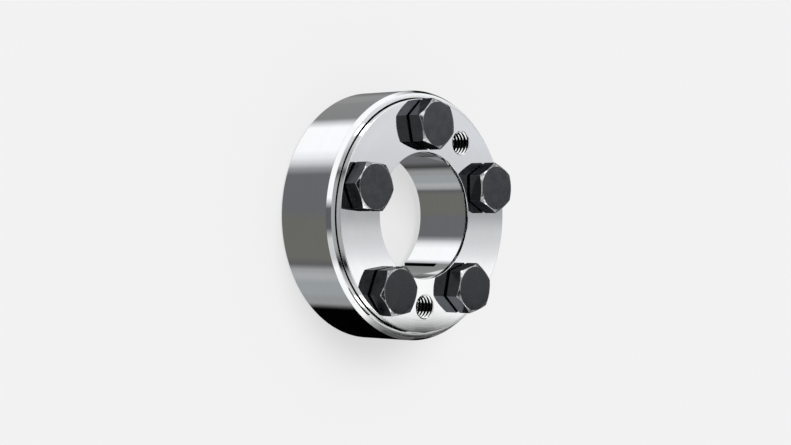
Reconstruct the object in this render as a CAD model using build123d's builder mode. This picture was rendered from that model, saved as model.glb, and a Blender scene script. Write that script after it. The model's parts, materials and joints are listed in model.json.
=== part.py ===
"""Two-part shrink disc, which clamps a hollow shaft or a hub on a solid shaft.

A flanged inner ring with a slit, tapered sleeve sits in the matching taper of an outer ring.
Five hexagon screws through the flange draw the sleeve into the taper, which squeezes its bore.
It is shown loose, with the flange standing out of the outer ring by the distance it is drawn in.

Z is the disc's axis. The outer ring's rear face is at Z = 0 and the screw heads are at the top.
All sizes are in millimetres and all angles in degrees.
"""
import os
from math import cos, radians, sin, tan

from build123d import *

os.makedirs("parts", exist_ok=True)

# Inner ring: its bore, sleeve and flange
bore_diameter = 36.0
bore_lead_in_depth = 0.9
bore_lead_in_height = 0.3
bore_rear_chamfer = 0.5
sleeve_wall_at_end = 1.4
sleeve_end_chamfer = 0.3
sleeve_root_chamfer = 0.3
taper_angle = 4.0
slit_width = 1.5
slit_into_flange = 1.0
flange_thickness = 7.0
flange_front_chamfer = 0.15
flange_rear_chamfer = 0.5

# Outer ring: its width, and its walls from the taper outwards past the tapped holes
outer_width = 20.0
taper_mouth_chamfer = 0.6
taper_rear_chamfer = 1.3
taper_to_thread_wall = 1.83
thread_to_recess_wall = 3.65
front_face_width = 1.3
front_rim_bevel_depth = 1.4
front_rim_bevel_height = 0.8
rear_rim_chamfer = 0.5

# Screw pattern
screw_count = 5
first_screw_angle = 90.0
slit_screw = 3
jacking_hole_numbers = (2, 4)

# Metric screw, its hexagon head and the holes that take it
thread_diameter = 8.0
screw_length = 18.0
screw_tip_chamfer = 1.0
head_across_flats = 13.0
head_height = 5.3
head_bevel_inset = 0.15
head_bevel_angle = 30.0
washer_face_inset = 0.7
washer_face_height = 0.6
head_turns = (42.0, 54.0, 7.0, 17.0, 31.0)
thread_mouth_chamfer = 0.4

# Running clearances and the distance the flange is drawn in
clamp_stroke = 1.9
flange_side_gap = 0.3
flange_floor_gap = 0.3
sleeve_end_setback = 0.3
taper_gap_when_clamped = 0.05
thread_gap = 0.05
shank_gap_in_flange = 0.5

# Heights along the axis, with the flange as far out as it is shown
flange_front_z = outer_width + clamp_stroke
flange_back_z = flange_front_z - flange_thickness
recess_floor_z = outer_width - flange_thickness - flange_floor_gap
sleeve_end_z = sleeve_end_setback + clamp_stroke

# Radii of the bore, the thread and its holes
bore_radius = bore_diameter / 2
thread_radius = thread_diameter / 2
tapped_hole_radius = thread_radius + thread_gap
clearance_hole_radius = thread_radius + shank_gap_in_flange

# The taper is widest at the flange, and the two cones close up by its slope over the stroke
taper_slope = tan(radians(taper_angle))
taper_gap = taper_gap_when_clamped + clamp_stroke * taper_slope


def sleeve_radius(z):
    """Outside of the tapered sleeve at a height."""
    return bore_radius + sleeve_wall_at_end + (z - sleeve_end_z) * taper_slope


def taper_bore_radius(z):
    """Wall of the outer ring's taper at a height."""
    return sleeve_radius(z) + taper_gap


# Radii from the taper outwards: 52.4 across the screw circle and 72 across the outer ring
screw_circle_radius = taper_bore_radius(recess_floor_z) + taper_to_thread_wall + tapped_hole_radius
recess_radius = screw_circle_radius + tapped_hole_radius + thread_to_recess_wall
flange_radius = recess_radius - flange_side_gap
outer_radius = recess_radius + front_face_width + front_rim_bevel_height

screw_step = 360 / screw_count
screw_angles = [first_screw_angle + i * screw_step for i in range(screw_count)]
jacking_angles = [first_screw_angle + (i + 0.5) * screw_step for i in jacking_hole_numbers]
slit_angle = screw_angles[slit_screw]


def on_screw_circle(angle):
    """Point of the screw circle at an angle, in the plane across the axis."""
    return (
        screw_circle_radius * cos(radians(angle)),
        screw_circle_radius * sin(radians(angle)),
    )


# Outer ring, turned in one setting: bevelled rim, recess for the flange and the taper below it
with BuildPart() as outer_ring:
    with BuildSketch(Plane.XZ) as ring_section:
        with BuildLine() as ring_outline:
            Polyline(
                (taper_bore_radius(0), 0),
                (outer_radius - rear_rim_chamfer, 0),
                (outer_radius, rear_rim_chamfer),
                (outer_radius, outer_width - front_rim_bevel_depth),
                (outer_radius - front_rim_bevel_height, outer_width),
                (recess_radius, outer_width),
                (recess_radius, recess_floor_z),
                (taper_bore_radius(recess_floor_z), recess_floor_z),
                close=True,
            )
        make_face()
        floor_corners = ring_section.vertices().filter_by_position(
            Axis.Y, recess_floor_z, recess_floor_z
        )
        rear_corners = ring_section.vertices().filter_by_position(Axis.Y, 0, 0)
        chamfer(floor_corners.sort_by(Axis.X)[0], length=taper_mouth_chamfer)
        chamfer(rear_corners.sort_by(Axis.X)[0], length=taper_rear_chamfer)
    revolve(axis=Axis.Z)

    # Tapped holes for the screws, right through, drawn plain at the thread's outside diameter
    with BuildSketch() as tapped_holes:
        with Locations(*[on_screw_circle(angle) for angle in screw_angles]):
            Circle(tapped_hole_radius)
    extrude(amount=recess_floor_z, mode=Mode.SUBTRACT)
    rear_circles = outer_ring.faces().sort_by(Axis.Z)[0].edges().filter_by(GeomType.CIRCLE)
    tapped_mouths = rear_circles.sort_by(SortBy.RADIUS)[:screw_count]
    chamfer(tapped_mouths, length=thread_mouth_chamfer)

outer_ring.part.label = "outer_ring"
export_step(outer_ring.part, "parts/outer_ring.step")


# Inner ring: flange and sleeve in one piece, turned, drilled and then slit
with BuildPart() as inner_ring:
    with BuildSketch(Plane.XZ) as sleeve_section:
        with BuildLine() as sleeve_outline:
            Polyline(
                (bore_radius, sleeve_end_z),
                (sleeve_radius(sleeve_end_z), sleeve_end_z),
                (sleeve_radius(flange_back_z), flange_back_z),
                (flange_radius, flange_back_z),
                (flange_radius, flange_front_z),
                (bore_radius + bore_lead_in_height, flange_front_z),
                (bore_radius, flange_front_z - bore_lead_in_depth),
                close=True,
            )
        make_face()
        end_corners = sleeve_section.vertices().filter_by_position(
            Axis.Y, sleeve_end_z, sleeve_end_z
        )
        back_corners = sleeve_section.vertices().filter_by_position(
            Axis.Y, flange_back_z, flange_back_z
        )
        front_corners = sleeve_section.vertices().filter_by_position(
            Axis.Y, flange_front_z, flange_front_z
        )
        chamfer(end_corners.sort_by(Axis.X)[0], length=bore_rear_chamfer)
        chamfer(end_corners.sort_by(Axis.X)[-1], length=sleeve_end_chamfer)
        chamfer(back_corners.sort_by(Axis.X)[0], length=sleeve_root_chamfer)
        chamfer(back_corners.sort_by(Axis.X)[-1], length=flange_rear_chamfer)
        chamfer(front_corners.sort_by(Axis.X)[-1], length=flange_front_chamfer)
    revolve(axis=Axis.Z)

    # Clearance holes that the screws pass through
    with BuildSketch(Plane.XY.offset(flange_back_z)) as clearance_holes:
        with Locations(*[on_screw_circle(angle) for angle in screw_angles]):
            Circle(clearance_hole_radius)
    extrude(amount=flange_thickness, mode=Mode.SUBTRACT)

    # Tapped holes for the jacking screws that push the flange off the recess floor again
    with BuildSketch(Plane.XY.offset(flange_back_z)) as jacking_holes:
        with Locations(*[on_screw_circle(angle) for angle in jacking_angles]):
            Circle(thread_radius)
    extrude(amount=flange_thickness, mode=Mode.SUBTRACT)

    # Saw slit through one side of the sleeve, from its end to just inside the flange
    with BuildSketch(Plane.XY.offset(sleeve_end_z)) as slit:
        with Locations(Location((0, 0), slit_angle)):
            Rectangle(outer_radius, slit_width, align=(Align.MIN, Align.CENTER))
    extrude(amount=flange_back_z + slit_into_flange - sleeve_end_z, mode=Mode.SUBTRACT)

inner_ring.part.label = "inner_ring"
export_step(inner_ring.part, "parts/inner_ring.step")


# Head of the screws: the circle where its bevel meets the top, and the bevel's fall to the corners
head_bevel_radius = head_across_flats / 2 - head_bevel_inset
washer_face_radius = head_across_flats / 2 - washer_face_inset
bevel_foot_radius = head_across_flats
bevel_fall = (bevel_foot_radius - head_bevel_radius) * tan(radians(head_bevel_angle))

# Hexagon head screws, seated on the flange, each stopped where its own tightening left it
for number, (angle, turn) in enumerate(zip(screw_angles, head_turns), start=1):
    seat = Plane(
        origin=(*on_screw_circle(angle), flange_front_z),
        x_dir=(cos(radians(turn)), sin(radians(turn)), 0),
        z_dir=(0, 0, 1),
    )
    with BuildPart(seat) as screw:
        with BuildSketch(seat.offset(washer_face_height)) as hexagon:
            RegularPolygon(head_across_flats / 2, 6, major_radius=False)
        extrude(amount=head_height - washer_face_height)

        # The bevel that rounds off the head's six upper corners
        with BuildSketch(Plane(origin=seat.origin, x_dir=(1, 0, 0), z_dir=(0, -1, 0))) as cone:
            with BuildLine() as cone_outline:
                Polyline(
                    (0, 0),
                    (bevel_foot_radius, 0),
                    (bevel_foot_radius, head_height - bevel_fall),
                    (head_bevel_radius, head_height),
                    (0, head_height),
                    close=True,
                )
            make_face()
        revolve(axis=Axis(seat.origin, (0, 0, 1)), mode=Mode.INTERSECT)

        with BuildSketch(seat) as washer_face:
            Circle(washer_face_radius)
        extrude(amount=washer_face_height)
        with BuildSketch(seat) as shank:
            Circle(thread_radius)
        extrude(amount=-screw_length)
        tip = screw.faces().sort_by(Axis.Z)[0]
        chamfer(tip.edges(), length=screw_tip_chamfer)

    screw.part.label = f"screw_{number}"
    export_step(screw.part, f"parts/screw_{number}.step")
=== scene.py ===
"""Shrink disc: turned rings, threaded screws and the studio that they stand in.

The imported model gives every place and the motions. The pieces made here have the same sizes as its
solids, with what these leave out: threads, eased edges and finishes.
"""
import json
from math import atan2, cos, hypot, pi, radians, sin, tan

import bmesh
import bpy
from mathutils import Matrix, Vector


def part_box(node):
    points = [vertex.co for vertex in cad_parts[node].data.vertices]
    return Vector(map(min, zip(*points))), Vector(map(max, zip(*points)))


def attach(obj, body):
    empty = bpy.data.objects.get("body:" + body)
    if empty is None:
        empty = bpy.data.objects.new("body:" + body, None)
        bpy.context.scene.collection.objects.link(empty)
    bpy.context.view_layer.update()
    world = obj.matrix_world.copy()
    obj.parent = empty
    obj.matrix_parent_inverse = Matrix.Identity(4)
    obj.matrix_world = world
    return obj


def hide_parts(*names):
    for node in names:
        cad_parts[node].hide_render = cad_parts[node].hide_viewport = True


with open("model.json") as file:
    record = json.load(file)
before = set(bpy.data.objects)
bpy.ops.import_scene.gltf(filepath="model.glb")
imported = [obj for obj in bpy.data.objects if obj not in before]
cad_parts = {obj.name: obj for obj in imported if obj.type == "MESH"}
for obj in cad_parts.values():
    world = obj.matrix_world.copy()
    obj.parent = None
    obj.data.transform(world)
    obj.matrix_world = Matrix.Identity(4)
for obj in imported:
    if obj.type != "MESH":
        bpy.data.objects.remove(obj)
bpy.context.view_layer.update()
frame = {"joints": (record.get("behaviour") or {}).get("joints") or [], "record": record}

bl_info = {
    "name": "Shrink Disc",
    "version": (1, 0, 0),
    "blender": (4, 5, 0),
    "location": "View3D > Sidebar > Shrink Disc",
    "description": "Makes a shrink disc of turned rings and threaded screws, and its studio",
    "category": "Add Mesh",
}

MM = 0.001
TO_MM = 1000.0

# Points round the turned rings, the screws with their holes, and the two jacking holes
RING_POINTS = 360
SCREW_POINTS = 72
JACKING_POINTS = 96

# From the axis of a thread to its flank
FLANK_ANGLE = radians(60.0)

# Edges sharper than this stay sharp in smooth shading. A thread's flank meets a flat end at 30
# degrees.
SHARP_EDGE = radians(29.0)

# Taken times a limit, this also takes in the faces that lie on the limit
JUST_OVER = 1.01

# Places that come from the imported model
OUTER_LOW, OUTER_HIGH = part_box("outer_ring")
INNER_LOW, INNER_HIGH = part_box("inner_ring")
SCREW_LOW, SCREW_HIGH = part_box("screw_1")
SCREW_AXES = {
    joint["child"]: Vector(joint["pos_m"][:2])
    for joint in frame["joints"]
    if joint["child"].startswith("screw")
}
JACKING_AXES = [
    Vector(mount["pos_m"][:2])
    for mount in frame["record"]["mounts"]
    if mount["kind"] == "threaded_hole"
]


def length(name, description, millimetres):
    """Property for a length."""
    return bpy.props.FloatProperty(
        name=name,
        description=description,
        default=millimetres * MM,
        min=0.0,
        precision=5,
        unit="LENGTH",
    )


def degrees(name, description, value):
    """Property for an angle."""
    return bpy.props.FloatProperty(
        name=name,
        description=description,
        default=radians(value),
        subtype="ANGLE",
    )


def colour(name, description, value):
    """Property for a linear colour."""
    return bpy.props.FloatVectorProperty(
        name=name,
        description=description,
        default=value,
        size=3,
        min=0.0,
        max=1.0,
        subtype="COLOR",
    )


def share(name, description, value, highest=1.0):
    """Property for a plain number."""
    return bpy.props.FloatProperty(
        name=name,
        description=description,
        default=value,
        min=0.0,
        max=highest,
        subtype="FACTOR",
    )


class DiscSizes(bpy.types.PropertyGroup):
    """Sizes of the turned rings."""

    bore_radius: length("Bore radius", "Half the shaft hole's width", 18.0)
    lead_in_depth: length("Lead-in depth", "Front lead-in of the bore, along the axis", 0.9)
    lead_in_height: length("Lead-in height", "Front lead-in of the bore, across the axis", 0.3)
    bore_rear_chamfer: length("Bore rear chamfer", "Chamfer at the rear of the bore", 0.5)
    sleeve_end_radius: length("Sleeve end radius", "Outside of the sleeve at its thin end", 19.4)
    taper_angle: degrees("Taper angle", "Slope of the sleeve and of the taper round it", 4.0)
    taper_gap: length("Taper gap", "Radial gap between the tapers while they are loose", 0.1829)
    slit_width: length("Slit width", "Width of the saw cut through the sleeve", 1.5)
    slit_into_flange: length("Slit into flange", "How far the saw cut runs into the flange", 1.0)
    slit_angle: degrees("Slit angle", "Where the saw cut is, round the axis from +X", 306.0)
    flange_radius: length("Flange radius", "Outside of the flange", 33.597)
    flange_thickness: length("Flange thickness", "From the flange's front face to its back", 7.0)
    flange_front_chamfer: length("Flange front chamfer", "Chamfer round the flange's front", 0.15)
    outer_radius: length("Outer radius", "Outside of the outer ring", 35.997)
    recess_radius: length("Recess radius", "Inside of the recess that the flange sits in", 33.897)
    taper_mouth: length("Taper mouth chamfer", "Chamfer between taper and recess floor", 0.6)
    taper_rear: length("Taper rear chamfer", "Chamfer at the rear of the taper", 1.3)
    recess_floor: length("Recess floor height", "Height of the recess floor", 12.7)
    rim_bevel_depth: length("Rim bevel depth", "Front rim bevel along the axis", 1.4)
    rim_bevel_height: length("Rim bevel height", "Front rim bevel across the axis", 0.8)
    edge_ease: length("Edge ease", "Radius left on turned edges", 0.08)


class ScrewSizes(bpy.types.PropertyGroup):
    """Sizes of the screws, their threads and their holes."""

    pitch: length("Thread pitch", "Travel of a screw in one turn", 1.25)
    major_radius: length("Thread major radius", "Over the crests of a screw's thread", 3.92)
    minor_radius: length("Thread minor radius", "At the roots of a screw's thread", 3.25)
    thread_play: length("Thread play", "Radial play of a screw in its tapped hole", 0.12)
    jacking_play: length("Jacking thread play", "Added to the thread in a jacking hole", 0.03)
    crest_flat: length("Crest flat", "Width of a thread's crest", 0.16)
    tip_chamfer: length("Tip chamfer", "Chamfer at a screw's tip", 1.0)
    clearance_radius: length("Clearance hole radius", "Holes in the flange for the screws", 4.5)
    mouth_radius: length("Mouth radius", "Broken edge at the rear of a screw's tapped hole", 4.05)
    jacking_mouth_radius: length("Jacking mouth radius", "Broken edge of a jacking hole", 3.55)
    across_flats: length("Across flats", "Width of a head across its flats", 13.0)
    corner_radius: length("Corner radius", "Radius left on a head's upright corners", 0.2)
    bevel_radius: length("Bevel radius", "Circle where a head's bevel meets its top", 6.35)
    bevel_angle: degrees("Bevel angle", "Slope of the bevel on a head's corners", 30.0)
    washer_radius: length("Washer face radius", "Raised round face under a head", 5.8)
    washer_height: length("Washer face height", "Height of the round face under a head", 0.6)


class DiscFinish(bpy.types.PropertyGroup):
    """Colours and levels of the finishes and the studio."""

    steel: colour("Steel", "Polished bare steel", (0.66, 0.67, 0.68))
    steel_roughness: share("Steel roughness", "Roughness of the polished steel", 0.05)
    black: colour("Black oxide", "Black oxide on the screws", (0.066, 0.068, 0.072))
    black_roughness: share("Black oxide roughness", "Roughness of the black oxide", 0.22)
    floor: colour("Floor", "Pale matt floor", (0.9, 0.9, 0.9))
    background: colour("Background", "Pale studio background", (0.896, 0.896, 0.896))
    floor_glow: share("Floor glow", "Share of the floor's own pale colour in its shadows", 0.65)
    ambient: share("Ambient level", "Soft light from all round", 0.55, 4.0)
    key: share("Key level", "Strength of the soft key light", 1.5, 10.0)


# How far each head is turned: the direction of one of its corners, round the axis from +X
HEAD_TURNS = {
    "screw_1": radians(42.0),
    "screw_2": radians(54.0),
    "screw_3": radians(7.0),
    "screw_4": radians(17.0),
    "screw_5": radians(31.0),
}


# Mesh tools


def add_object(name, vertices, faces):
    """Closed mesh with its faces turned outwards, as an object in the scene."""
    mesh = bpy.data.meshes.new(name)
    mesh.from_pydata(vertices, [], faces)
    body = bmesh.new()
    body.from_mesh(mesh)
    bmesh.ops.recalc_face_normals(body, faces=body.faces)
    body.to_mesh(mesh)
    body.free()
    piece = bpy.data.objects.new(name, mesh)
    bpy.context.scene.collection.objects.link(piece)
    return piece


def loft(name, rows, closed=False):
    """Skin over rows of points, where a row of one point closes an end."""
    vertices, index = [], []
    for row in rows:
        index.append(list(range(len(vertices), len(vertices) + len(row))))
        vertices.extend(row)
    pairs = list(zip(index, index[1:]))
    if closed:
        pairs.append((index[-1], index[0]))
    count = max(len(row) for row in rows)
    faces = []
    for low, high in pairs:
        for i in range(count):
            j = (i + 1) % count
            if len(low) == 1:
                faces.append((low[0], high[j], high[i]))
            elif len(high) == 1:
                faces.append((low[i], low[j], high[0]))
            else:
                faces.append((low[i], low[j], high[j], high[i]))
    return add_object(name, vertices, faces)


def turned(name, outline, segments, centre=(0.0, 0.0), closed=True):
    """Solid turned from an outline of (radius, height) points."""
    rows = []
    for radius, height in outline:
        if radius <= 0.0:
            rows.append([(centre[0], centre[1], height)])
            continue
        rows.append(
            [
                (
                    centre[0] + radius * cos(2 * pi * i / segments),
                    centre[1] + radius * sin(2 * pi * i / segments),
                    height,
                )
                for i in range(segments)
            ]
        )
    return loft(name, rows, closed)


def eased(outline, radius, steps=4):
    """Closed outline with a small curve of equal reach at each corner."""
    points = []
    for i, corner in enumerate(outline):
        here = Vector(corner)
        before = Vector(outline[i - 1]) - here
        after = Vector(outline[(i + 1) % len(outline)]) - here
        reach = min(radius, before.length * 0.4, after.length * 0.4)
        start = here + before.normalized() * reach
        end = here + after.normalized() * reach
        for step in range(steps + 1):
            t = step / steps
            points.append(tuple(start * (1 - t) ** 2 + here * (2 * t * (1 - t)) + end * t**2))
    return points


def helix(name, centre, crest, root, bottom, top, sizes, segments):
    """Solid with a right-hand thread, whose rows of faces follow the helix.

    All threads start from the same height on the +X side, so a screw is in step with its hole.
    """
    pitch, flat = sizes.pitch, sizes.crest_flat / 2
    flank = flat + (sizes.major_radius - sizes.minor_radius) / tan(FLANK_ANGLE)
    form = [(-flank, root), (-flat, crest), (flat, crest), (flank, root)]
    first, last = int(bottom / pitch) - 1, int(top / pitch) + 1
    rows = [(turn * pitch + rise, r) for turn in range(first, last + 1) for rise, r in form]
    per_turn, count = len(form), len(rows)
    vertices = []
    for i in range(segments):
        turn = i / segments
        for rise, r in rows:
            vertices.append(
                (
                    centre[0] + r * cos(2 * pi * turn),
                    centre[1] + r * sin(2 * pi * turn),
                    rise + pitch * turn,
                )
            )

    def at(i, j):
        return i * count + j

    faces = []
    for i in range(segments - 1):
        for j in range(count - 1):
            faces.append((at(i, j), at(i + 1, j), at(i + 1, j + 1), at(i, j + 1)))
    end = segments - 1
    for j in range(count - 1 - per_turn):
        faces.append((at(end, j), at(0, j + per_turn), at(0, j + per_turn + 1), at(end, j + 1)))

    low_loop = [at(i, 0) for i in range(segments)] + [at(0, j) for j in range(per_turn, 0, -1)]
    high_loop = [at(i, count - 1) for i in range(segments)]
    high_loop += [at(end, j) for j in range(count - 2, count - 2 - per_turn, -1)]
    low_pole, high_pole = len(vertices), len(vertices) + 1
    vertices.append((centre[0], centre[1], rows[0][0] - pitch / 2))
    vertices.append((centre[0], centre[1], rows[-1][0] + pitch * 1.5))
    for loop, pole in ((low_loop, low_pole), (high_loop, high_pole)):
        for a, b in zip(loop, loop[1:] + loop[:1]):
            faces.append((a, b, pole))
    return add_object(name, vertices, faces)


def combine(base, others, operation):
    """Cuts others from base, joins them to it or keeps what they share. The others are used up."""
    for other in others:
        change = base.modifiers.new(other.name, "BOOLEAN")
        change.operation = operation
        change.solver = "MANIFOLD"
        change.object = other
    bpy.context.view_layer.update()
    shape = base.evaluated_get(bpy.context.evaluated_depsgraph_get())
    mesh = bpy.data.meshes.new_from_object(shape)
    if not mesh.polygons:
        raise RuntimeError(f"{base.name} has no faces left after {operation}")
    base.modifiers.clear()
    old, base.data = base.data, mesh
    bpy.data.meshes.remove(old)
    mesh.name = base.name
    for other in others:
        spent = other.data
        bpy.data.objects.remove(other)
        bpy.data.meshes.remove(spent)
    return base


def mark_faces(piece, name, test):
    """Stores for the finish which faces pass a test of their centre and normal."""
    mesh = piece.data
    layer = mesh.attributes.new(name, "FLOAT", "CORNER")
    for polygon in mesh.polygons:
        mark = 1.0 if test(polygon.center, polygon.normal) else 0.0
        for corner in polygon.loop_indices:
            layer.data[corner].value = mark


def finish_piece(piece, material, body, node):
    """Gives a piece its finish, with smooth shading that keeps flats flat, hangs it on its body and
    hides the CAD part in its place.
    """
    mesh = piece.data
    mesh.materials.clear()
    mesh.materials.append(material)
    for polygon in mesh.polygons:
        polygon.use_smooth = True
    mesh.set_sharp_from_angle(angle=SHARP_EDGE)
    weight = piece.modifiers.new("flats", "WEIGHTED_NORMAL")
    weight.mode = "FACE_AREA"
    weight.keep_sharp = True
    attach(piece, body)
    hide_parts(node)


# Node tools


class Number:
    """A shader socket that holds a number and takes Python's arithmetic."""

    def __init__(self, maker, socket):
        self.maker = maker
        self.socket = socket

    def _with(self, operation, first, second=None):
        inputs = {0: first} if second is None else {0: first, 1: second}
        return self.maker.number("ShaderNodeMath", {"operation": operation}, inputs)

    def __add__(self, other):
        return self._with("ADD", self, other)

    def __sub__(self, other):
        return self._with("SUBTRACT", self, other)

    def __rsub__(self, other):
        return self._with("SUBTRACT", other, self)

    def __mul__(self, other):
        return self._with("MULTIPLY", self, other)

    __radd__ = __add__
    __rmul__ = __mul__

    def root(self):
        """Square root."""
        return self._with("SQRT", self)

    def cosine(self):
        """Cosine of an angle in radians."""
        return self._with("COSINE", self)

    def sine(self):
        """Sine of an angle in radians."""
        return self._with("SINE", self)

    def angle_from(self, other):
        """Angle of the point (other, self), in radians."""
        return self._with("ARCTAN2", self, other)

    def size(self):
        """The number without its sign."""
        return self._with("ABSOLUTE", self)

    def wrap(self, top):
        """Remainder, always from 0 to top."""
        inputs = {0: self, 1: top, 2: 0.0}
        return self.maker.number("ShaderNodeMath", {"operation": "WRAP"}, inputs)

    def smooth(self, start, end, low=0.0, high=1.0):
        """Soft step from low at start to high at end."""
        return self.maker.number(
            "ShaderNodeMapRange",
            {"interpolation_type": "SMOOTHSTEP"},
            {"Value": self, "From Min": start, "From Max": end, "To Min": low, "To Max": high},
            "Result",
        )


class Maker:
    """Adds nodes to one node tree."""

    def __init__(self, tree):
        self.tree = tree
        tree.nodes.clear()

    def node(self, kind, settings=None, inputs=None):
        """Adds a node, with its settings first and then the values or links of its sockets."""
        made = self.tree.nodes.new(kind)
        for name, value in (settings or {}).items():
            if name == "stops":
                elements = made.color_ramp.elements
                while len(elements) < len(value):
                    elements.new(0.5)
                for element, (position, tint) in zip(elements, value):
                    element.position = position
                    element.color = (*tint, 1.0)
            else:
                setattr(made, name, value)
        for name, value in (inputs or {}).items():
            socket = made.inputs[name]
            if isinstance(value, Number):
                self.tree.links.new(value.socket, socket)
            elif isinstance(value, bpy.types.NodeSocket):
                self.tree.links.new(value, socket)
            else:
                socket.default_value = value
        return made

    def number(self, kind, settings=None, inputs=None, output=0):
        """Adds a node and returns one of its outputs as a number."""
        return Number(self, self.node(kind, settings, inputs).outputs[output])

    def blend(self, factor, first, second):
        """Colour between first and second."""
        inputs = {0: factor, 6: first, 7: second}
        return self.node("ShaderNodeMix", {"data_type": "RGBA"}, inputs).outputs[2]

    def split(self, vector):
        """The three numbers of a vector."""
        node = self.node("ShaderNodeSeparateXYZ", None, {0: vector})
        return [Number(self, output) for output in node.outputs]

    def join(self, x, y, z):
        """A vector from three numbers."""
        return self.node("ShaderNodeCombineXYZ", None, {0: x, 1: y, 2: z}).outputs[0]

    def grey(self, level):
        """A grey whose level changes over the surface."""
        return self.join(level, level, level)

    def noise(self, vector, scale, detail, roughness, w=None):
        """Noise from 0 to 1, in four dimensions where w is given."""
        inputs = {"Vector": vector, "Scale": scale, "Detail": detail, "Roughness": roughness}
        if w is not None:
            inputs["W"] = w
        dimensions = "3D" if w is None else "4D"
        return self.number("ShaderNodeTexNoise", {"noise_dimensions": dimensions}, inputs)

    def relief(self, height, distance, strength):
        """Normal of a surface with fine relief."""
        inputs = {"Strength": strength, "Distance": distance, "Height": height}
        return self.node("ShaderNodeBump", None, inputs).outputs[0]

    def between(self, factor, first, second):
        """Shader node between first and second."""
        inputs = {0: factor, 1: first.outputs[0], 2: second.outputs[0]}
        return self.node("ShaderNodeMixShader", None, inputs)

    def show(self, shader, output="ShaderNodeOutputMaterial"):
        """Makes a shader node the result of the tree."""
        self.node(output, None, {"Surface": shader.outputs[0]})


def opaque(value):
    """Colour with full alpha, for a socket."""
    return (value[0], value[1], value[2], 1.0)


def plain_grey(level):
    """Even grey, for a socket."""
    return opaque((level, level, level))


def new_material(name):
    """Node material with nothing in it, and its node maker."""
    material = bpy.data.materials.new(name)
    material.use_nodes = True
    return material, Maker(material.node_tree)


def turned_steel(finish):
    """Finely turned and polished steel: fine rings round the axis, light haze and faint tint."""
    material, make = new_material("turned_steel")
    place = make.node("ShaderNodeTexCoord").outputs["Object"]
    x, y, z = make.split(place)
    radius = (x * x + y * y).root()
    turn = y.angle_from(x)

    # Coordinates that are fine across the tool's path and long along it
    drift = 0.35
    across = make.join(radius * TO_MM, z * TO_MM, turn.cosine() * drift)
    around = turn.sine() * drift
    rings = make.noise(across, 5.0, 3.0, 0.6, around)
    bands = make.noise(across, 0.55, 2.0, 0.5, around)
    haze = make.noise(place, 70.0, 3.0, 0.55)
    flecks = make.noise(place, 1900.0, 2.0, 0.6)

    roughness = (
        finish.steel_roughness * 0.62
        + bands.smooth(0.35, 0.75) * 0.015
        + haze.smooth(0.4, 0.75) * 0.015
        + flecks * 0.01
    )
    r, g, b = finish.steel
    warm = opaque((r * 0.985, g * 0.975, b * 0.955))
    tint = make.blend(haze.smooth(0.35, 0.7), opaque((r, g, b)), warm)
    shade = make.blend(bands.smooth(0.3, 0.8) * 0.5, tint, opaque((r * 0.94, g * 0.945, b * 0.95)))

    # Painted shade: the tapers, in the gap between the rings, and the walls of the narrow saw cut
    # are coloured near black where they lie in shade, and are left rough
    dull = make.number("ShaderNodeAttribute", {"attribute_name": "dull"}, None, "Fac")
    painted_shade_colour = make.blend(haze.smooth(0.3, 0.7), plain_grey(0.012), plain_grey(0.03))
    shade = make.blend(dull, shade, painted_shade_colour)
    roughness = roughness + dull * (0.4 + flecks * 0.1)

    marks = make.relief(rings * 0.8 + flecks * 0.2, 0.0022 * MM, 0.35)
    inputs = {"Base Color": shade, "Metallic": 1.0, "Roughness": roughness, "Normal": marks}
    make.show(make.node("ShaderNodeBsdfPrincipled", None, inputs))
    return material


def black_oxide(finish):
    """Black oxide on forged screws: satin, slightly mottled, worn to steel on the bevels, where the
    lighter steel is also a painted highlight.
    """
    material, make = new_material("black_oxide")
    place = make.node("ShaderNodeTexCoord").outputs["Object"]
    mottle = make.noise(place, 420.0, 4.0, 0.6)
    grain = make.noise(place, 5200.0, 2.0, 0.6)
    edge = make.number("ShaderNodeAttribute", {"attribute_name": "edge"}, None, "Fac")

    r, g, b = finish.black
    deep = opaque((r * 0.72, g * 0.74, b * 0.76))
    base = make.blend(mottle.smooth(0.3, 0.75), deep, opaque((r, g, b)))
    # Wear and painted highlight: the bevels are lightened toward bare steel in mottled patches
    wear_and_painted_highlight = edge * mottle.smooth(0.4, 0.62, 0.3, 0.95)
    shade = make.blend(wear_and_painted_highlight, base, opaque((0.6, 0.6, 0.61)))
    roughness = (
        finish.black_roughness
        + mottle.smooth(0.3, 0.8, -0.05, 0.07)
        + grain.smooth(0.2, 0.8, -0.03, 0.03)
        - edge * 0.1
    )
    inputs = {
        "Base Color": shade,
        "Metallic": 0.97,
        "Roughness": roughness,
        "Specular Tint": plain_grey(0.3),
        "Normal": make.relief(grain * 0.5 + mottle * 0.5, 0.006 * MM, 0.4),
    }
    make.show(make.node("ShaderNodeBsdfPrincipled", None, inputs))
    return material


def shared_material(name, recipe):
    """The material of that name, made the first time that a piece asks for it."""
    found = bpy.data.materials.get(name)
    return found or recipe(bpy.context.scene.disc_finish)


# Pieces


def tapped_cutters(name, centre, bottom, top, mouth, wide, play, sizes, segments):
    """Thread to cut a tapped hole, and a cone to break its edge at mouth to the radius wide."""
    reach, depth = 0.5 * MM, 1.0 * MM
    way = 1.0 if mouth == top else -1.0
    cutters = [
        helix(
            f"{name}_thread",
            centre,
            sizes.major_radius + play,
            sizes.minor_radius + play,
            bottom - 2 * sizes.pitch,
            top + 2 * sizes.pitch,
            sizes,
            segments,
        )
    ]
    outline = [
        (0.0, mouth + way * reach),
        (wide + reach, mouth + way * reach),
        (wide - depth, mouth - way * depth),
        (0.0, mouth - way * depth),
    ]
    cutters.append(turned(f"{name}_mouth", outline, segments, centre, closed=False))
    return cutters


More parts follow.
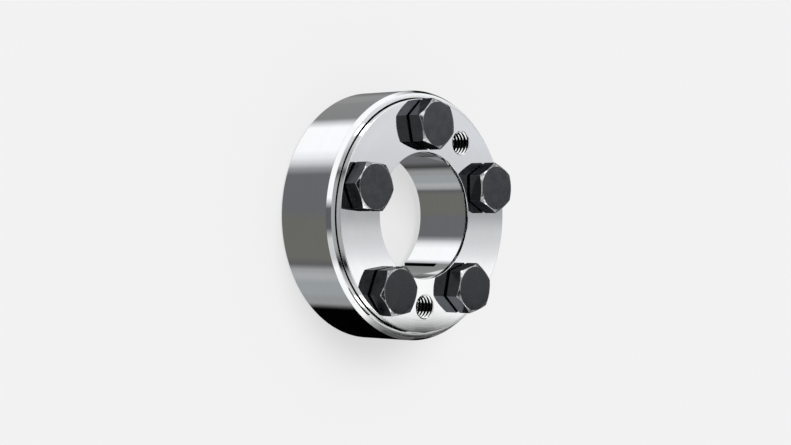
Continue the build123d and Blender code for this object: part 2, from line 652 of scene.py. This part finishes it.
class MakeOuterRing(bpy.types.Operator):
    """Turn the outer ring, with its recess, its taper and five tapped holes"""

    bl_idname = "shrink_disc.outer_ring"
    bl_label = "Outer Ring"

    def execute(self, context):
        sizes, screws = context.scene.disc_sizes, context.scene.screw_sizes
        slope = tan(sizes.taper_angle)
        sleeve_end = INNER_LOW.z
        floor, top, outside = sizes.recess_floor, OUTER_HIGH.z, sizes.outer_radius

        def taper(height):
            return sizes.sleeve_end_radius + (height - sleeve_end) * slope + sizes.taper_gap

        mouth, behind, rear = sizes.taper_mouth, sizes.taper_rear, 0.5 * MM
        outline = [
            (taper(0.0) + behind, 0.0),
            (outside - rear, 0.0),
            (outside, rear),
            (outside, top - sizes.rim_bevel_depth),
            (outside - sizes.rim_bevel_height, top),
            (sizes.recess_radius, top),
            (sizes.recess_radius, floor),
            (taper(floor) + mouth, floor),
            (taper(floor - mouth), floor - mouth),
            (taper(behind), behind),
        ]
        ring = turned("outer_ring_turned", eased(outline, sizes.edge_ease), RING_POINTS)
        cutters, play, wide = [], screws.thread_play, screws.mouth_radius
        for screw, axis in SCREW_AXES.items():
            cutters += tapped_cutters(
                f"{screw}_hole", axis, 0.0, floor, 0.0, wide, play, screws, SCREW_POINTS
            )
        combine(ring, cutters, "DIFFERENCE")

        # Faces of the taper, which the finish colours near black as painted shade
        def in_taper(centre, normal):
            inside = hypot(centre.x, centre.y) < taper(floor)
            return inside and behind < centre.z < floor - mouth

        mark_faces(ring, "dull", in_taper)
        steel = shared_material("turned_steel", turned_steel)
        finish_piece(ring, steel, "outer_ring", "outer_ring")
        return {"FINISHED"}


class MakeInnerRing(bpy.types.Operator):
    """Turn the flanged sleeve, drill it, tap its two jacking holes and slit it"""

    bl_idname = "shrink_disc.inner_ring"
    bl_label = "Inner Ring"

    def execute(self, context):
        sizes, screws = context.scene.disc_sizes, context.scene.screw_sizes
        slope = tan(sizes.taper_angle)
        end, front = INNER_LOW.z, INNER_HIGH.z
        back = front - sizes.flange_thickness
        bore, rim = sizes.bore_radius, sizes.flange_radius

        def sleeve(height):
            return sizes.sleeve_end_radius + (height - end) * slope

        small, rear, flange_rear = 0.3 * MM, sizes.bore_rear_chamfer, 0.5 * MM
        outline = [
            (bore + sizes.lead_in_height, front),
            (bore, front - sizes.lead_in_depth),
            (bore, end + rear),
            (bore + rear, end),
            (sleeve(end) - small, end),
            (sleeve(end + small), end + small),
            (sleeve(back - small), back - small),
            (sleeve(back) + small, back),
            (rim - flange_rear, back),
            (rim, back + flange_rear),
            (rim, front - sizes.flange_front_chamfer),
            (rim - sizes.flange_front_chamfer, front),
        ]
        ring = turned("inner_ring_turned", eased(outline, sizes.edge_ease), RING_POINTS)

        beyond = 1.0 * MM
        cutters = []
        for screw, axis in SCREW_AXES.items():
            hole = [
                (0.0, back - beyond),
                (screws.clearance_radius, back - beyond),
                (screws.clearance_radius, front + beyond),
                (0.0, front + beyond),
            ]
            cutters.append(turned(f"{screw}_way", hole, SCREW_POINTS, axis, closed=False))
        wide, play = screws.jacking_mouth_radius, screws.jacking_play
        for number, axis in enumerate(JACKING_AXES, start=1):
            cutters += tapped_cutters(
                f"jacking_{number}", axis, back, front, front, wide, play, screws, JACKING_POINTS
            )

        # The saw cut, from beyond the sleeve's end to its own end inside the flange
        slit_end = back + sizes.slit_into_flange
        half = sizes.slit_width / 2
        along = Vector((cos(sizes.slit_angle), sin(sizes.slit_angle), 0.0))
        aside = Vector((-along.y, along.x, 0.0))
        corners = ((bore / 2, -half), (2 * rim, -half), (2 * rim, half), (bore / 2, half))
        vertices = [
            tuple(along * a + aside * b + Vector((0, 0, height)))
            for height in (end - beyond, slit_end)
            for a, b in corners
        ]
        sides = [(i, (i + 1) % 4, (i + 1) % 4 + 4, i + 4) for i in range(4)]
        cutters.append(add_object("slit", vertices, [(0, 1, 2, 3), (4, 5, 6, 7), *sides]))
        combine(ring, cutters, "DIFFERENCE")

        # Faces of the saw cut and of the taper, which the finish colours near black as painted shade
        def sawn_or_taper(centre, normal):
            outwards = centre.x * normal.x + centre.y * normal.y
            across, out = centre.xy.dot(aside.xy), centre.xy.dot(along.xy)
            sawn = abs(across) < half * JUST_OVER and out > bore
            taper = outwards > 0.0 and hypot(centre.x, centre.y) < sleeve(back)
            return centre.z < back + sizes.slit_into_flange * JUST_OVER and (sawn or taper)

        mark_faces(ring, "dull", sawn_or_taper)
        steel = shared_material("turned_steel", turned_steel)
        finish_piece(ring, steel, "inner_ring", "inner_ring")
        return {"FINISHED"}


def hexagon(across_flats, corner_radius, flat_points=9, corner_points=4):
    """Points of a hexagon with eased corners, as (angle, radius) from its centre."""
    apothem = across_flats / 2
    half_side = (apothem - corner_radius) * tan(radians(30.0))
    points = []
    for side in range(6):
        facing = radians(30.0 + 60.0 * side)
        out = Vector((cos(facing), sin(facing)))
        along = Vector((-out.y, out.x))
        for i in range(flat_points):
            step = -1 + 2 * i / (flat_points - 1)
            points.append(out * apothem + along * (half_side * step))
        centre = out * (apothem - corner_radius) + along * half_side
        for i in range(1, corner_points + 1):
            angle = facing + radians(60.0 * i / (corner_points + 1))
            points.append(centre + Vector((cos(angle), sin(angle))) * corner_radius)
    return [(atan2(p.y, p.x), hypot(p.x, p.y)) for p in points]


class MakeScrews(bpy.types.Operator):
    """Make the five hexagon screws, each seated on the flange and threaded into the outer ring"""

    bl_idname = "shrink_disc.screws"
    bl_label = "Screws"

    def execute(self, context):
        sizes = context.scene.screw_sizes
        black = shared_material("black_oxide", black_oxide)

        def on_bevel(centre, normal):
            leaning = 0.3 < normal.z < 0.97
            return leaning and centre.z > INNER_HIGH.z + 2 * sizes.washer_height

        for screw, axis in SCREW_AXES.items():
            head = self.head(screw, axis, HEAD_TURNS[screw], sizes)
            tip, neck = SCREW_LOW.z, INNER_HIGH.z - 0.5 * MM
            shank = helix(
                f"{screw}_thread",
                axis,
                sizes.major_radius,
                sizes.minor_radius,
                tip - 2 * sizes.pitch,
                neck + 2 * sizes.pitch,
                sizes,
                SCREW_POINTS,
            )
            room = sizes.major_radius + 0.2 * MM
            outline = [
                (0.0, tip),
                (sizes.major_radius - sizes.tip_chamfer, tip),
                (room, tip + room - sizes.major_radius + sizes.tip_chamfer),
                (room, neck),
                (0.0, neck),
            ]
            limits = turned(f"{screw}_limits", outline, SCREW_POINTS, axis, closed=False)
            combine(shank, [limits], "INTERSECT")
            combine(head, [shank], "UNION")
            # Bevel faces, which the finish lightens as wear and as a painted highlight
            mark_faces(head, "edge", on_bevel)
            finish_piece(head, black, screw, screw)
        return {"FINISHED"}

    @staticmethod
    def head(screw, axis, turn, sizes):
        """Hexagon head with its washer face, its bevel and a short plain neck."""
        seat, top = INNER_HIGH.z, SCREW_HIGH.z
        fall = tan(sizes.bevel_angle)
        ease, small = 0.07 * MM, 0.04 * MM
        around = hexagon(sizes.across_flats, sizes.corner_radius)
        neck, washer = sizes.major_radius + 0.03 * MM, sizes.washer_radius
        neck_end, under = seat - 1.2 * MM, seat + sizes.washer_height

        def ring(radius, height):
            """Row of points, where radius and height may depend on the hexagon's own radius."""
            row = []
            for angle, reach in around:
                r = radius(reach) if callable(radius) else radius
                h = height(reach) if callable(height) else height
                row.append((axis.x + r * cos(angle + turn), axis.y + r * sin(angle + turn), h))
            return row

        def bevel(radius):
            return top - (radius - sizes.bevel_radius) * fall

        rows = [
            [(axis.x, axis.y, neck_end)],
            ring(neck - ease, neck_end),
            ring(neck, neck_end + ease),
            ring(neck, seat),
            ring(washer - ease, seat),
            ring(washer, seat + ease),
            ring(washer, under),
            ring(lambda reach: reach - ease, under),
            ring(lambda reach: reach, under + ease),
            ring(lambda reach: reach, lambda reach: bevel(reach) - ease),
            ring(lambda reach: reach - ease, lambda reach: bevel(reach - ease)),
            ring(sizes.bevel_radius + small, bevel(sizes.bevel_radius + small)),
            ring(sizes.bevel_radius - small, top),
            ring(sizes.bevel_radius * 0.66, top),
            ring(sizes.bevel_radius * 0.33, top),
            [(axis.x, axis.y, top)],
        ]
        return loft(f"{screw}_hexagon", rows)


# Studio cards that the steel mirrors, each with where it starts and ends and how bright it is.
# Between two cards the light fades from one to the other. The first two rows stand round the disc,
# in degrees from +X: the ring's outside and the bore mirror the low row, and the bevels mirror the
# middle row. The flange's face mirrors the last row, which goes by the direction's part along Y,
# from FACE_START over FACE_SPAN.
LOW_CARDS = [
    (0, 20, (0.20, 0.20, 0.21)),
    (34, 45, (0.36, 0.36, 0.36)),
    (50, 77, (0.33, 0.33, 0.33)),
    (89, 116, (1.43, 1.44, 1.46)),
    (123, 124, (1.22, 1.23, 1.25)),
    (129, 129.5, (0.90, 0.91, 0.93)),
    (135, 135.5, (0.43, 0.44, 0.46)),
    (141, 176, (0.195, 0.20, 0.21)),
    (184, 220, (0.21, 0.21, 0.19)),
    (225, 227, (0.17, 0.17, 0.17)),
    (232, 233, (0.50, 0.50, 0.51)),
    (237, 240, (0.58, 0.58, 0.59)),
    (246, 258, (0.46, 0.49, 0.50)),
    (264, 270, (0.42, 0.42, 0.42)),
    (282, 284, (0.08, 0.08, 0.08)),
    (298, 350, (0.20, 0.20, 0.21)),
]
MIDDLE_CARDS = [
    (0, 26, (0.14, 0.14, 0.14)),
    (40, 45, (0.45, 0.45, 0.45)),
    (62, 166, (1.45, 1.45, 1.45)),
    (174, 190, (0.16, 0.16, 0.17)),
    (198, 214, (0.90, 0.90, 0.91)),
    (222, 266, (1.45, 1.45, 1.45)),
    (278, 280, (0.50, 0.50, 0.50)),
    (290, 294, (0.14, 0.14, 0.14)),
    (300, 360, (0.14, 0.14, 0.14)),
]
FACE_CARDS = [
    (-0.100, -0.0632, (0.03, 0.03, 0.03)),
    (-0.0622, -0.061, (0.50, 0.50, 0.49)),
    (-0.055, -0.030, (1.45, 1.45, 1.45)),
    (-0.022, -0.020, (1.04, 1.04, 1.06)),
    (-0.016, -0.011, (0.90, 0.90, 0.91)),
    (-0.002, 0.001, (0.52, 0.53, 0.54)),
    (0.008, 0.010, (0.80, 0.80, 0.82)),
    (0.024, 0.030, (0.92, 0.93, 0.96)),
    (0.036, 0.056, (0.98, 0.99, 1.02)),
    (0.064, 0.100, (1.45, 1.45, 1.45)),
]
FACE_START, FACE_SPAN = -0.1, 0.2

# Strength of the world behind the cards, which their colours are shares of
CARD_TOP = 1.5


class MakeStage(bpy.types.Operator):
    """Set the floor, the soft light, the studio cards that the steel mirrors, and the camera"""

    bl_idname = "shrink_disc.stage"
    bl_label = "Stage"

    def execute(self, context):
        finish = context.scene.disc_finish
        self.floor(finish)
        self.flag()
        self.world(context.scene, finish)
        self.key_light(finish)
        self.camera(context.scene)
        context.scene.view_settings.view_transform = "Standard"
        return {"FINISHED"}

    @staticmethod
    def card(name, corners):
        """Flat card between four corners, and the node maker of its material."""
        mesh = bpy.data.meshes.new(name)
        mesh.from_pydata(corners, [], [(0, 1, 2, 3)])
        card = bpy.data.objects.new(name, mesh)
        bpy.context.scene.collection.objects.link(card)
        material, make = new_material(name)
        mesh.materials.append(material)
        return card, make

    def floor(self, finish):
        """Matt floor that the steel doesn't mirror, with a faint shadow."""
        reach = 20.0
        corners = [(-reach, -reach, 0), (reach, -reach, 0), (reach, reach, 0), (-reach, reach, 0)]
        floor, make = self.card("floor", corners)
        floor.visible_glossy = False
        matt = make.node("ShaderNodeBsdfDiffuse", None, {"Color": opaque(finish.floor)})
        glow = make.node("ShaderNodeEmission", None, {"Color": opaque(finish.background)})
        seen = make.number("ShaderNodeLightPath", None, None, "Is Camera Ray")
        make.show(make.between(seen * finish.floor_glow, matt, glow))

    def flag(self):
        """Black card close beside the disc, on the -Y side, which only mirrors see: painted shade.

        It darkens the foot of the ring in the photograph's view, and fades out at its two ends.
        """
        # Painted shade: a dark sheet where there is only the floor's shade, for the ring's foot to
        # mirror
        left, right, side, rear, front = -26.0, 12.0, -37.5, -14.0, 14.0
        left_fade, right_fade = 3.5, 9.0
        corners = ((left, rear), (right, rear), (right, front), (left, front))
        flag, make = self.card("flag", [(x * MM, side * MM, z * MM) for x, z in corners])
        flag.visible_camera = False
        flag.visible_diffuse = False
        flag.visible_transmission = False
        flag.visible_shadow = False
        x = make.split(make.node("ShaderNodeTexCoord").outputs["Object"])[0] * TO_MM
        matt = make.node("ShaderNodeBsdfDiffuse", None, {"Color": plain_grey(0.002)})
        clear = make.node("ShaderNodeBsdfTransparent")
        full = x.smooth(left, left + left_fade) * x.smooth(right, right - right_fade)
        make.show(make.between(full, clear, matt))

    @staticmethod
    def world(scene, finish):
        """Even soft light, and the cards round the disc that only mirrors see."""
        world = bpy.data.worlds.new("studio")
        scene.world = world
        world.use_nodes = True
        make = Maker(world.node_tree)
        x, y, z = make.split(make.node("ShaderNodeTexCoord").outputs["Generated"])
        turn = (y.angle_from(x) * (0.5 / pi)).wrap(1.0)

        def row(cards, place, first, span):
            """Light of a row of cards at a place that runs from first over span."""
            stops = []
            for start, end, level in cards:
                shade = tuple(value / CARD_TOP for value in level)
                stops += [((start - first) / span, shade), ((end - first) / span, shade)]
            return make.node("ShaderNodeValToRGB", {"stops": stops}, {0: place}).outputs[0]

        # The two rows round the disc, with a black strip where they meet. It is tilted along X as
        # the reflections in the bore's lead-in are.
        low = row(LOW_CARDS, turn, 0.0, 360.0)
        middle = row(MIDDLE_CARDS, turn, 0.0, 360.0)
        tilted = z + x * 0.16
        strip = tilted.smooth(-0.38, -0.36) * (1.0 - tilted.smooth(-0.27, -0.25))
        around = make.blend(tilted.smooth(-0.32, -0.3), low, middle)
        around = make.blend(strip, around, plain_grey(0.004))

        # Higher up on the +X side, the cards that the flange's face mirrors. On the -X side, the
        # levels that the outer ring's front face and the left sides of the heads mirror.
        place = y * (1 / FACE_SPAN) - FACE_START / FACE_SPAN
        face = row(FACE_CARDS, place, FACE_START, FACE_SPAN)
        behind = x.smooth(-0.6, -0.45, 0.55, 0.01) + x.smooth(-0.12, 0.05) * 0.5
        high = make.blend(x.smooth(0.35, 0.5), make.grey(behind), face)

        # Wide boxes of light on the +Y and -Y sides, each with a brighter lamp in it
        aside = (y.size() + y * 0.1 - x.size() * 0.6).smooth(0.2, 0.35)
        lamp = x.smooth(-0.06, 0.0) * x.smooth(0.18, 0.12) * y.size().smooth(0.64, 0.68)
        box = x.smooth(-0.35, -0.1, 0.9 / CARD_TOP, 1.45 / CARD_TOP) + lamp * 3.0
        high = make.blend(aside, high, make.grey(box))

        # An even grey band between those and the rows
        high = make.blend(z.smooth(0.45, 0.6), plain_grey(0.62), high)
        cards = make.blend(z.smooth(0.24, 0.36), around, high)

        def glow(colour, strength):
            """Light of the world."""
            inputs = {"Color": colour, "Strength": strength}
            return make.node("ShaderNodeBackground", None, inputs)

        # Mirrors see the cards, except by way of a matt surface, and all else sees the even light
        path = make.node("ShaderNodeLightPath")
        matt = Number(make, path.outputs["Diffuse Depth"])
        first_mirror = Number(make, path.outputs["Is Glossy Ray"]) * (1.0 - matt.smooth(0.0, 1.0))
        even = glow(plain_grey(1.0), finish.ambient)
        light = make.between(first_mirror, even, glow(cards, CARD_TOP))
        pale = glow(opaque(finish.background), 1.0)
        seen = make.between(path.outputs["Is Camera Ray"], light, pale)
        make.show(seen, "ShaderNodeOutputWorld")

    @staticmethod
    def key_light(finish):
        """Wide soft key light from the first screw's side, which gives the floor its shadow."""
        lamp = bpy.data.lights.new("key", "SUN")
        lamp.energy = finish.key
        lamp.angle = radians(35.0)
        key = bpy.data.objects.new("key", lamp)
        toward = Vector((-0.1, 0.42, 0.9))
        key.rotation_mode = "QUATERNION"
        key.rotation_quaternion = toward.to_track_quat("Z", "Y")
        key.visible_glossy = False
        bpy.context.scene.collection.objects.link(key)

    @staticmethod
    def camera(scene):
        """The photograph's view: level with the disc's axis, with the first screw at the top."""
        lens = bpy.data.cameras.new("camera")
        lens.lens = 86.2
        lens.sensor_width = 36.0
        lens.clip_start = 0.01
        lens.clip_end = 100.0
        camera = bpy.data.objects.new("camera", lens)
        scene.collection.objects.link(camera)
        right = Vector((0.70367, -0.00198, 0.71053))
        up = Vector((0.00549, 0.99998, -0.00265))
        back = Vector((-0.71051, 0.00577, 0.70367))
        place = Vector((-0.392356, 0.001150, 0.398487))
        turn = Matrix((right, up, back)).transposed().to_4x4()
        camera.matrix_world = Matrix.Translation(place) @ turn
        scene.camera = camera


OPERATORS = (MakeOuterRing, MakeInnerRing, MakeScrews, MakeStage)


class DiscPanel(bpy.types.Panel):
    """Sizes, finishes and steps of the shrink disc"""

    bl_idname = "VIEW3D_PT_shrink_disc"
    bl_label = "Shrink Disc"
    bl_space_type = "VIEW_3D"
    bl_region_type = "UI"
    bl_category = "Shrink Disc"

    def draw(self, context):
        for title, group in (
            ("Rings", context.scene.disc_sizes),
            ("Screws", context.scene.screw_sizes),
            ("Finish and studio", context.scene.disc_finish),
        ):
            box = self.layout.box()
            box.label(text=title)
            for name in group.__annotations__:
                box.prop(group, name)
        for operator in OPERATORS:
            self.layout.operator(operator.bl_idname)


CLASSES = (DiscSizes, ScrewSizes, DiscFinish, *OPERATORS, DiscPanel)


def register():
    """Adds the classes and the scene's settings."""
    for made in CLASSES:
        bpy.utils.register_class(made)
    bpy.types.Scene.disc_sizes = bpy.props.PointerProperty(type=DiscSizes)
    bpy.types.Scene.screw_sizes = bpy.props.PointerProperty(type=ScrewSizes)
    bpy.types.Scene.disc_finish = bpy.props.PointerProperty(type=DiscFinish)


def unregister():
    """Removes the scene's settings and the classes."""
    del bpy.types.Scene.disc_finish
    del bpy.types.Scene.screw_sizes
    del bpy.types.Scene.disc_sizes
    for made in reversed(CLASSES):
        bpy.utils.unregister_class(made)


def main():
    """Makes the disc and its stage."""
    register()
    bpy.ops.shrink_disc.outer_ring()
    bpy.ops.shrink_disc.inner_ring()
    bpy.ops.shrink_disc.screws()
    bpy.ops.shrink_disc.stage()


if __name__ == "__main__":
    main()
